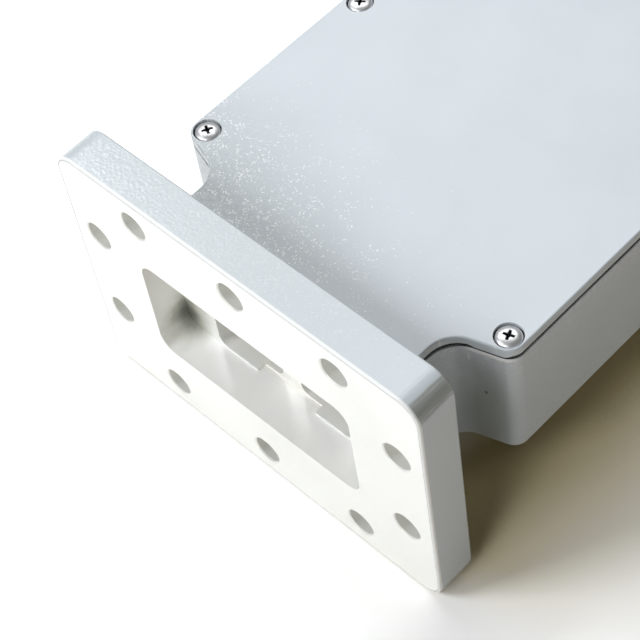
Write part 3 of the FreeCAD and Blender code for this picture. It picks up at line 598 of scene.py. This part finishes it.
# The casing is bare inside. Outside, its upper rim is painted pale in front of each shoulder, as a highlight
casingEdges = {
    "innerHalf": 0.0301, "innerFloor": -0.0157, "metallic": 0.3, "travelTilt": 0.35, "wallBack": 0.0934,
    "deepAmount": 0.8, "deepColour": (0.96, 0.95, 0.91), "gritScale": 900.0, "upperLightGrit": (0.50, 0.66),
    "upperLight": (0.003, 0.0135, 0.0, 0.35), "lowGrit": (0.30, 0.60), "lowRimHighlight": (-0.01632, -0.01657, 0.0, 0.8),
    "topRim": (0.01289, 0.01299), "shoulder": (0.0749, -0.0403, 0.0), "rimHighlight": (0.0062, 0.00372),
    "rimHighlightColour": (0.98, 0.985, 0.985),
}
# Marks on the casing wall: a soft painted shade below, a chip, and a painted highlight in a short upright
# streak
wallMarks = (
    {"place": (-0.0752, -0.0392, -0.0075), "squash": (1.0, 1.0, 0.38), "reach": (0.0080, 0.0024),
     "colour": (0.49, 0.525, 0.525)},
    {"place": (-0.0754, -0.0390, 0.0001), "squash": (1.0, 1.0, 0.7), "reach": (0.00055, 0.000165),
     "colour": (0.22, 0.22, 0.20)},
    {"place": (-0.0765, -0.0360, 0.0110), "squash": (1.0, 1.0, 0.22), "reach": (0.00050, 0.00015),
     "colour": (0.98, 0.99, 0.99)},
)


def makeCasingPaint(look, metalLook, edges, marks):
    material, tree, shader, place = newMaterial("casingPaint")
    axes = axesOf(tree, place)
    along, across = fold(tree, place, "XY")[:2]
    bare = times(tree, maths(tree, "LESS_THAN", across, edges["innerHalf"]),
                 maths(tree, "GREATER_THAN", axes["Z"], edges["innerFloor"]))
    travel = maths(tree, "MULTIPLY_ADD", axes["Z"], edges["travelTilt"], axes["X"])
    metal = bareParts(tree, place, travel, metalLook)
    deep = times(tree, maths(tree, "LESS_THAN", along, edges["wallBack"]), edges["deepAmount"])
    colour = mixColours(tree, deep, metal[0], edges["deepColour"])
    metal = (darkenPortCorners(tree, place, colour, portCorner), metal[1], metal[2])
    # Painted light: paler in speckles on the upper wall, and a painted highlight along the lower rim
    paint = paintParts(tree, place, look)
    grit = noise(tree, place, edges["gritScale"])
    upperLight = times(tree, ramp(tree, grit, *edges["upperLightGrit"]), ramp(tree, axes["Z"], *edges["upperLight"]))
    lowRimHighlight = times(tree, ramp(tree, axes["Z"], *edges["lowRimHighlight"]), ramp(tree, grit, *edges["lowGrit"]))
    spots = [(ramp(tree, awayFrom(tree, place, mark), *mark["reach"]), mark["colour"]) for mark in marks]
    # Painted highlight on the upper rim in front of each shoulder
    rimHighlight = times(tree, ramp(tree, axes["Z"], *edges["topRim"]),
                 ramp(tree, awayFromShoulder(tree, place, edges["shoulder"]), *edges["rimHighlight"]))
    colour = layer(tree, paint[0], (upperLight, look["rubAndHighlightColour"]), (lowRimHighlight, look["rubAndHighlightColour"]), *spots,
                   (rimHighlight, edges["rimHighlightColour"]))
    finishPaintedMetal(tree, shader, bare, (colour, paint[1], paint[2]), metal, edges["metallic"])
    return material


# The lid is bare underneath, with painted shade at the bottom of its screw pockets. Black rubber is pressed
# out along its lower edge, drawn together with a painted shadow of the gap, wider on the near side
lidEdges = {
    "underside": 0.014545, "pocketRadius": 0.00325, "pocketLow": 0.01602, "pocketShadeColour": (0.05, 0.05, 0.05),
    "pockets": ((0.0235667, 0.0416, 0.0), (0.0707, 0.0416, 0.0)),
    "seamBottom": 0.01454, "seamWidth": (-0.020, -0.030, 0.00010, 0.00046), "seamThin": (0.00288, 0.0048),
    "seamEdge": (0.00003, -0.00003), "seamColour": (0.004, 0.004, 0.004), "seamRoughness": 0.9,
}


def makeLidPaint(look, metalLook, edges, shoulder):
    material, tree, shader, place = newMaterial("lidPaint")
    axes = axesOf(tree, place)
    bare = maths(tree, "LESS_THAN", axes["Z"], edges["underside"])
    toPocket = nearestOf(tree, vector(tree, *fold(tree, place, "XY")[:2]), edges["pockets"])
    # Painted shade at the bottom of the screw pockets
    pocketShade = times(tree, maths(tree, "LESS_THAN", toPocket, edges["pocketRadius"]),
                 maths(tree, "LESS_THAN", axes["Z"], edges["pocketLow"]), opposite(tree, bare))
    # The dark line along the lower edge is rubber and a painted shadow of the gap
    width = times(tree, ramp(tree, axes["Y"], *edges["seamWidth"]),
                  ramp(tree, awayFromShoulder(tree, place, shoulder), *edges["seamThin"]))
    over = minus(tree, minus(tree, axes["Z"], edges["seamBottom"]), width)
    seamAndShadow = ramp(tree, over, *edges["seamEdge"])
    paint = paintParts(tree, place, look)
    colour = layer(tree, paint[0], (pocketShade, edges["pocketShadeColour"]), (seamAndShadow, edges["seamColour"]))
    paint = (colour, mixValues(tree, seamAndShadow, paint[1], edges["seamRoughness"]), paint[2])
    metal = bareParts(tree, place, axes["X"], metalLook)
    finishPaintedMetal(tree, shader, bare, paint, metal, metalLook["metallic"])
    return material


gasketLook = {
    "colour": (0.012, 0.012, 0.013), "dustColour": (0.06, 0.058, 0.055), "dustScale": 90.0,
    "dust": (0.48, 0.75, 0.0, 0.6), "grainScale": 1500.0, "grainDepth": 0.00004,
    "roughness": (0.3, 0.7, 0.62, 0.80),
}


def makeGasketRubber(look):
    material, tree, shader, place = newMaterial("gasketRubber")
    grain = noise(tree, place, look["grainScale"], 3.0)
    dust = ramp(tree, noise(tree, place, look["dustScale"], 5.0), *look["dust"])
    finish(tree, shader, mixColours(tree, dust, look["colour"], look["dustColour"]),
           ramp(tree, grain, *look["roughness"]), times(tree, grain, look["grainDepth"]))
    return material


# Turned metals, with fine rings round the axis of each fastener. Its attribute ownPlace is measured from
# there. The screws have a painted shade in their recess
turnedLook = {
    "metallic": 1.0, "ringDepth": 0.000004, "rub": {"Width": 0.00015, "Amount": 0.8}, "grimeScale": 650.0,
    "darkening": (0.46, 0.72),
}
steelLook = dict(
    turnedLook, name="screwSteel", colour=(0.86, 0.86, 0.87), dullColour=(0.60, 0.59, 0.58), metallic=0.7,
    roughness=(0.3, 0.7, 0.30, 0.40), dullRoughness=0.16, ringSpacing=0.00012, recessRadius=0.0018,
    recessLow=0.0002, recessHigh=(0.00138, 0.00126), recessShadeColour=(0.02, 0.02, 0.022))
nutLook = dict(
    turnedLook, name="nutSteel", colour=(0.60, 0.60, 0.60), dullColour=(0.42, 0.41, 0.40),
    roughness=(0.3, 0.7, 0.30, 0.40), dullRoughness=0.18, ringSpacing=0.0002)
brassLook = dict(
    turnedLook, name="tuningBrass", colour=(0.76, 0.57, 0.27), dullColour=(0.42, 0.29, 0.13),
    roughness=(0.3, 0.7, 0.22, 0.32), dullRoughness=0.22, ringSpacing=0.00015)


def makeTurnedMetal(look):
    material, tree, shader, place = newMaterial(look["name"])
    own = put(tree, "ShaderNodeAttribute", attribute_name="ownPlace").outputs["Vector"]
    radius = vectorMaths(tree, "LENGTH", vectorMaths(tree, "MULTIPLY", own, (1.0, 1.0, 0.0)))
    marks = useGroup(tree, cutterMarks, Place=place, Travel=radius, Spacing=look["ringSpacing"])
    rub = useGroup(tree, edgeRub, Place=place, **look["rub"])["Rub"]
    darkening = ramp(tree, noise(tree, place, look["grimeScale"], 5.0), *look["darkening"])
    dull = times(tree, darkening, opposite(tree, rub))
    colour = mixColours(tree, dull, look["colour"], look["dullColour"])
    # Painted shade inside the screws' cross recess
    if "recessShadeColour" in look:
        height = axesOf(tree, own)["Z"]
        within = times(tree, maths(tree, "GREATER_THAN", height, look["recessLow"]),
                       ramp(tree, height, *look["recessHigh"]),
                       maths(tree, "LESS_THAN", radius, look["recessRadius"]))
        colour = mixColours(tree, within, colour, look["recessShadeColour"])
    rough = maths(tree, "MULTIPLY_ADD", dull, look["dullRoughness"],
                  ramp(tree, marks["Streak"], *look["roughness"]))
    finish(tree, shader, colour, rough, times(tree, marks["Height"], look["ringDepth"]))
    shader.inputs["Metallic"].default_value = look["metallic"]
    return material


flangePaint = makeFlangePaint(flangePaintLook, bareLook, flangeEdges)
casingPaint = makeCasingPaint(dict(paintLook, beadGlintAmount=0.0), bareLook, casingEdges, wallMarks)
lidPaint = makeLidPaint(paintLook, bareLook, lidEdges, casingEdges["shoulder"])
gasketRubber = makeGasketRubber(gasketLook)
screwSteel = makeTurnedMetal(steelLook)
nutSteel = makeTurnedMetal(nutLook)
tuningBrass = makeTurnedMetal(brassLook)
for nodeName, material in (("input_flange", flangePaint), ("output_flange", flangePaint),
                           ("filter_body", casingPaint), ("lid", lidPaint), ("lid_gasket", gasketRubber)):
    mesh = nodes[nodeName].data
    mesh.materials.clear()
    mesh.materials.append(material)
print("finishes on the carried-over nodes")


# Geometry node trees for the fasteners

def position(tree):
    return put(tree, "GeometryNodeInputPosition").outputs[0]


def reshape(tree, shape, place):
    return put(tree, "GeometryNodeSetPosition", {"Geometry": shape, "Position": place}).outputs[0]


# A place with its X and Y times a share, at a height
def widen(tree, axes, share, height):
    return vector(tree, times(tree, axes["X"], share), times(tree, axes["Y"], share), height)


def raiseBy(tree, shape, height):
    return put(tree, "GeometryNodeTransform",
               {"Geometry": shape, "Translation": vector(tree, z=height)}).outputs[0]


def makeCylinder(tree, radius, depth, around, sideSteps=1, fillSteps=1, fill="NGON"):
    return put(tree, "GeometryNodeMeshCylinder",
               {"Vertices": around, "Side Segments": sideSteps, "Fill Segments": fillSteps,
                "Radius": radius, "Depth": depth}, fill_type=fill).outputs


def makeBlock(tree, *size):
    return put(tree, "GeometryNodeMeshCube", {"Size": vector(tree, *size)}).outputs["Mesh"]


def combine(tree, operation, first, *others):
    node = put(tree, "GeometryNodeMeshBoolean", operation=operation, solver="EXACT")
    tree.links.new(first, node.inputs["Mesh 1" if operation == "DIFFERENCE" else "Mesh 2"])
    for other in reversed(others):
        tree.links.new(other, node.inputs["Mesh 2"])
    return node.outputs["Mesh"]


# One copy on each point of the modified mesh, turned by the point's own angle. The attribute ownPlace
# keeps where each vertex lies from the fastener's own axis, for the turned finish
def repeatOnPoints(tree, points, shape, material):
    kept = put(tree, "GeometryNodeStoreNamedAttribute",
               {"Geometry": shape, "Name": "ownPlace", 3: position(tree)},
               data_type="FLOAT_VECTOR", domain="POINT").outputs[0]
    turn = put(tree, "GeometryNodeInputNamedAttribute", {"Name": "turn"}, data_type="FLOAT").outputs[0]
    placed = put(tree, "GeometryNodeInstanceOnPoints",
                 {"Points": points, "Instance": kept, "Rotation": vector(tree, z=turn)}).outputs[0]
    real = put(tree, "GeometryNodeRealizeInstances", {0: placed}).outputs[0]
    return put(tree, "GeometryNodeSetMaterial", {0: real, "Material": material}).outputs[0]


rodShape = {"stepsInTurn": 6.0, "steepness": 2.3}


# A rod with a helical thread and chamfered ends, standing on the plane z = 0
def makeThreadedRod(shape):
    group, given, made = newGroup(
        "threadedRod", "GeometryNodeTree",
        {"Radius": 0.0015, "Length": 0.009, "Pitch": 0.0005, "Depth": 0.00027, "Chamfer": 0.0004,
         "Around": 32}, ("Rod",), "Geometry")
    turns = maths(group, "DIVIDE", given["Length"], given["Pitch"])
    steps = put(group, "FunctionNodeFloatToInt", {0: times(group, turns, shape["stepsInTurn"])}).outputs[0]
    blank = makeCylinder(group, given["Radius"], given["Length"], given["Around"], steps,
                         fill="TRIANGLE_FAN")
    axes = axesOf(group, position(group))
    height = maths(group, "ADD", axes["Z"], times(group, given["Length"], 0.5))
    angle = maths(group, "DIVIDE", maths(group, "ARCTAN2", axes["Y"], axes["X"]), math.tau)
    phase = maths(group, "FRACT", minus(group, maths(group, "DIVIDE", height, given["Pitch"]), angle))
    flank = times(group, maths(group, "ABSOLUTE", minus(group, phase, 0.5)), shape["steepness"])
    cut = times(group, opposite(group, maths(group, "MINIMUM", flank, 1.0)), given["Depth"])
    toEnd = maths(group, "MINIMUM", height, minus(group, given["Length"], height))
    tapered = maths(group, "ADD", minus(group, given["Radius"], given["Chamfer"]), toEnd)
    radius = maths(group, "MINIMUM", minus(group, given["Radius"], cut), tapered)
    share = maths(group, "DIVIDE", radius, given["Radius"])
    shaped = reshape(group, blank["Mesh"], widen(group, axes, share, height))
    smooth = put(group, "GeometryNodeSetShadeSmooth", {0: shaped, "Selection": blank["Side"]})
    connect(group, made, {"Rod": smooth.outputs[0]})
    return group


screwShape = {
    "around": 56, "sideSteps": 8, "fillSteps": 9, "domePower": 3.2, "draft": 0.07, "draftPower": 6.0,
    "coneAround": 24, "coneTop": 0.36, "coneBottom": 0.35, "taper": (0.78, 0.22), "overlap": 0.0001,
}


# Pan head screw with a cross recess, one on each point, seated on the plane z = 0
def makeCrossScrews(rod, material, shape):
    tree, given, made = newGroup(
        "crossScrews", "GeometryNodeTree",
        {"Places": "Geometry", "HeadRadius": 0.00275, "HeadHeight": 0.0016, "Dome": 0.00055,
         "ShankRadius": 0.0015, "ShankLength": 0.009, "Pitch": 0.0005, "RecessSpan": 0.0032,
         "RecessWidth": 0.0008, "RecessDepth": 0.0011}, ("Screws",), "Geometry")
    blank = makeCylinder(tree, given["HeadRadius"], given["HeadHeight"], shape["around"],
                         shape["sideSteps"], shape["fillSteps"], "TRIANGLE_FAN")
    axes = axesOf(tree, position(tree))
    level = vectorMaths(tree, "LENGTH", vector(tree, axes["X"], axes["Y"]))
    reach = maths(tree, "DIVIDE", level, given["HeadRadius"], clamp=True)
    height = maths(tree, "ADD", axes["Z"], times(tree, given["HeadHeight"], 0.5))
    upper = maths(tree, "DIVIDE", height, given["HeadHeight"])
    fall = times(tree, maths(tree, "POWER", reach, shape["domePower"]), given["Dome"])
    sunk = minus(tree, height, times(tree, fall, upper))
    draw = opposite(tree, times(tree, maths(tree, "POWER", upper, shape["draftPower"]), shape["draft"]))
    head = reshape(tree, blank["Mesh"], widen(tree, axes, draw, sunk))
    head = put(tree, "GeometryNodeSetShadeSmooth", {0: head}).outputs[0]
    # The cross narrows towards its bottom, and a cone opens its middle
    deep = times(tree, given["RecessDepth"], 2.0)
    wings = [makeBlock(tree, given[along], given[across], deep)
             for along, across in (("RecessSpan", "RecessWidth"), ("RecessWidth", "RecessSpan"))]
    cone = put(tree, "GeometryNodeMeshCone",
               {"Vertices": shape["coneAround"], "Depth": deep,
                "Radius Top": times(tree, given["RecessSpan"], shape["coneTop"]),
                "Radius Bottom": times(tree, given["RecessWidth"], shape["coneBottom"])},
               fill_type="NGON").outputs["Mesh"]
    cross = combine(tree, "UNION", *wings, raiseBy(tree, cone, times(tree, given["RecessDepth"], -1.0)))
    low, rise = shape["taper"]
    rising = maths(tree, "DIVIDE", times(tree, axes["Z"], rise), given["RecessDepth"])
    narrow = maths(tree, "ADD", low, rising)
    cross = reshape(tree, cross, widen(tree, axes, narrow, axes["Z"]))
    head = combine(tree, "DIFFERENCE", head, raiseBy(tree, cross, given["HeadHeight"]))
    shank = useGroup(tree, rod, Radius=given["ShankRadius"], Length=given["ShankLength"],
                     Pitch=given["Pitch"])["Rod"]
    sink = minus(tree, shape["overlap"], given["ShankLength"])
    screw = combine(tree, "UNION", head, raiseBy(tree, shank, sink))
    connect(tree, made, {"Screws": repeatOnPoints(tree, given["Places"], screw, material)})
    return tree


# Threaded rod with a screwdriver slot in its lower end, one on each point
def makeSlottedScrews(rod, material):
    tree, given, made = newGroup(
        "slottedScrews", "GeometryNodeTree",
        {"Places": "Geometry", "Radius": 0.00246, "Length": 0.0146, "Pitch": 0.0008, "Depth": 0.0004,
         "SlotWidth": 0.001, "SlotDepth": 0.0014}, ("Screws",), "Geometry")
    body = useGroup(tree, rod, Radius=given["Radius"], Length=given["Length"], Pitch=given["Pitch"],
                    Depth=given["Depth"])["Rod"]
    slot = makeBlock(tree, given["SlotWidth"], times(tree, given["Radius"], 3.0),
                     times(tree, given["SlotDepth"], 2.0))
    screw = combine(tree, "DIFFERENCE", body, slot)
    connect(tree, made, {"Screws": repeatOnPoints(tree, given["Places"], screw, material)})
    return tree


nutShape = {
    "around": 72, "sideSteps": 12, "holeAround": 40, "holeSteps": 16, "holeHeight": 1.02,
    "chamferStart": 0.485, "chamferSlope": 1.9,
}


# Hexagon nut with both faces chamfered and its hole countersunk, one on each point, hanging from z = 0
def makeHexagonNuts(material, shape):
    tree, given, made = newGroup(
        "hexagonNuts", "GeometryNodeTree",
        {"Places": "Geometry", "AcrossFlats": 0.008, "Height": 0.0027, "HoleRadius": 0.0025,
         "Countersink": 0.0003}, ("Nuts",), "Geometry")
    height, bore = given["Height"], given["HoleRadius"]
    corner = maths(tree, "DIVIDE", given["AcrossFlats"], math.sqrt(3))
    prism = makeCylinder(tree, corner, height, 6)["Mesh"]
    disc = makeCylinder(tree, corner, height, shape["around"], shape["sideSteps"])["Mesh"]
    hole = makeCylinder(tree, bore, times(tree, height, shape["holeHeight"]), shape["holeAround"],
                        shape["holeSteps"])["Mesh"]
    axes = axesOf(tree, position(tree))
    half = times(tree, height, 0.5)
    toEnd = maths(tree, "MAXIMUM", minus(tree, half, maths(tree, "ABSOLUTE", axes["Z"])), 0.0)
    flat = times(tree, given["AcrossFlats"], shape["chamferStart"])
    limit = maths(tree, "ADD", flat, times(tree, toEnd, shape["chamferSlope"]))
    limit = maths(tree, "MINIMUM", limit, corner)
    mouth = maths(tree, "MAXIMUM", minus(tree, given["Countersink"], toEnd), 0.0)
    disc, hole = (reshape(tree, blank, widen(tree, axes, maths(tree, "DIVIDE", radius, full), axes["Z"]))
                  for blank, radius, full in ((disc, limit, corner),
                                              (hole, maths(tree, "ADD", bore, mouth), bore)))
    nut = combine(tree, "DIFFERENCE", combine(tree, "INTERSECT", prism, disc), hole)
    nut = raiseBy(tree, nut, times(tree, half, -1.0))
    connect(tree, made, {"Nuts": repeatOnPoints(tree, given["Places"], nut, material)})
    return tree


# Runs a tree on a mesh of points and keeps the result as a plain mesh
def growPiece(name, tree, places, turnsInDegrees, sizes):
    mesh = bpy.data.meshes.new(name + "Places")
    mesh.from_pydata(places, [], [])
    turns = [math.radians(angle) for angle in turnsInDegrees]
    mesh.attributes.new("turn", "FLOAT", "POINT").data.foreach_set("value", turns)
    piece = bpy.data.objects.new(name, mesh)
    scene.collection.objects.link(piece)
    modifier = piece.modifiers.new("build", "NODES")
    modifier.node_group = tree
    sockets = {item.name: item.identifier for item in tree.interface.items_tree if item.in_out == "INPUT"}
    for label, value in sizes.items():
        modifier[sockets[label]] = value
    evaluated = piece.evaluated_get(bpy.context.evaluated_depsgraph_get())
    built = bpy.data.meshes.new_from_object(evaluated)
    piece.modifiers.clear()
    piece.data = built
    built.name = name
    bpy.data.meshes.remove(mesh)
    return piece


threadedRod = makeThreadedRod(rodShape)
crossScrews = makeCrossScrews(threadedRod, screwSteel, screwShape)
slottedScrews = makeSlottedScrews(threadedRod, tuningBrass)
hexagonNuts = makeHexagonNuts(nutSteel, nutShape)

lidScrewSettings = {
    "rows": (-0.0707, -0.0235667, 0.0235667, 0.0707), "side": 0.0416, "seat": 0.01564,
    "turnsInDegrees": (20, 71, 48, 8, 62, 33, 85, 15),
    "sizes": {"HeadRadius": 0.00275, "HeadHeight": 0.00157, "Dome": 0.00055, "ShankRadius": 0.0015,
              "ShankLength": 0.009, "Pitch": 0.0005, "RecessSpan": 0.0032, "RecessWidth": 0.0008,
              "RecessDepth": 0.0011},
}
tuningSettings = {
    "cavity": {"places": (-0.069, -0.023, 0.023, 0.069), "turnsInDegrees": (25, 112, 64, 149),
               "low": -0.02314,
               "sizes": {"Radius": 0.00246, "Length": 0.0146, "Pitch": 0.0008, "Depth": 0.00042,
                         "SlotWidth": 0.001, "SlotDepth": 0.0014}},
    "coupling": {"places": (-0.046, 0.0, 0.046), "turnsInDegrees": (80, 17, 131), "low": -0.02264,
                 "sizes": {"Radius": 0.00196, "Length": 0.0131, "Pitch": 0.0007, "Depth": 0.00036,
                           "SlotWidth": 0.001, "SlotDepth": 0.0014}},
}
nutSettings = {
    "cavity": {"turnsInDegrees": (11, 47, 28, 2),
               "sizes": {"AcrossFlats": 0.008, "Height": 0.0027, "HoleRadius": 0.0025,
                         "Countersink": 0.0003}},
    "coupling": {"turnsInDegrees": (39, 8, 22),
                 "sizes": {"AcrossFlats": 0.007, "Height": 0.0022, "HoleRadius": 0.002,
                           "Countersink": 0.00025}},
    "underside": -0.01694,
}


def makeLidScrews(settings):
    places = [(x, side * settings["side"], settings["seat"]) for side in (-1, 1) for x in settings["rows"]]
    piece = growPiece("lidScrewSet", crossScrews, places, settings["turnsInDegrees"], settings["sizes"])
    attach(piece, "root")
    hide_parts("lid_screws")


def makeTuningScrews(family, settings):
    spots = zip(settings["places"], settings["turnsInDegrees"])
    for number, (x, turn) in enumerate(spots, start=1):
        piece = growPiece(f"{family}TuningScrew{number}", slottedScrews, [(x, 0.0, settings["low"])],
                          [turn], settings["sizes"])
        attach(piece, "root")
        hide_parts(f"{family}_tuning_screw_{number}")


def makeLockNuts(family, settings, underside):
    places = [(x, 0.0, underside) for x in tuningSettings[family]["places"]]
    piece = growPiece(f"{family}LockNuts", hexagonNuts, places, settings["turnsInDegrees"],
                      settings["sizes"])
    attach(piece, "root")
    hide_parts(f"{family}_lock_nuts")


makeLidScrews(lidScrewSettings)
for family in ("cavity", "coupling"):
    makeTuningScrews(family, tuningSettings[family])
    makeLockNuts(family, nutSettings[family], nutSettings["underside"])
print("fasteners made")
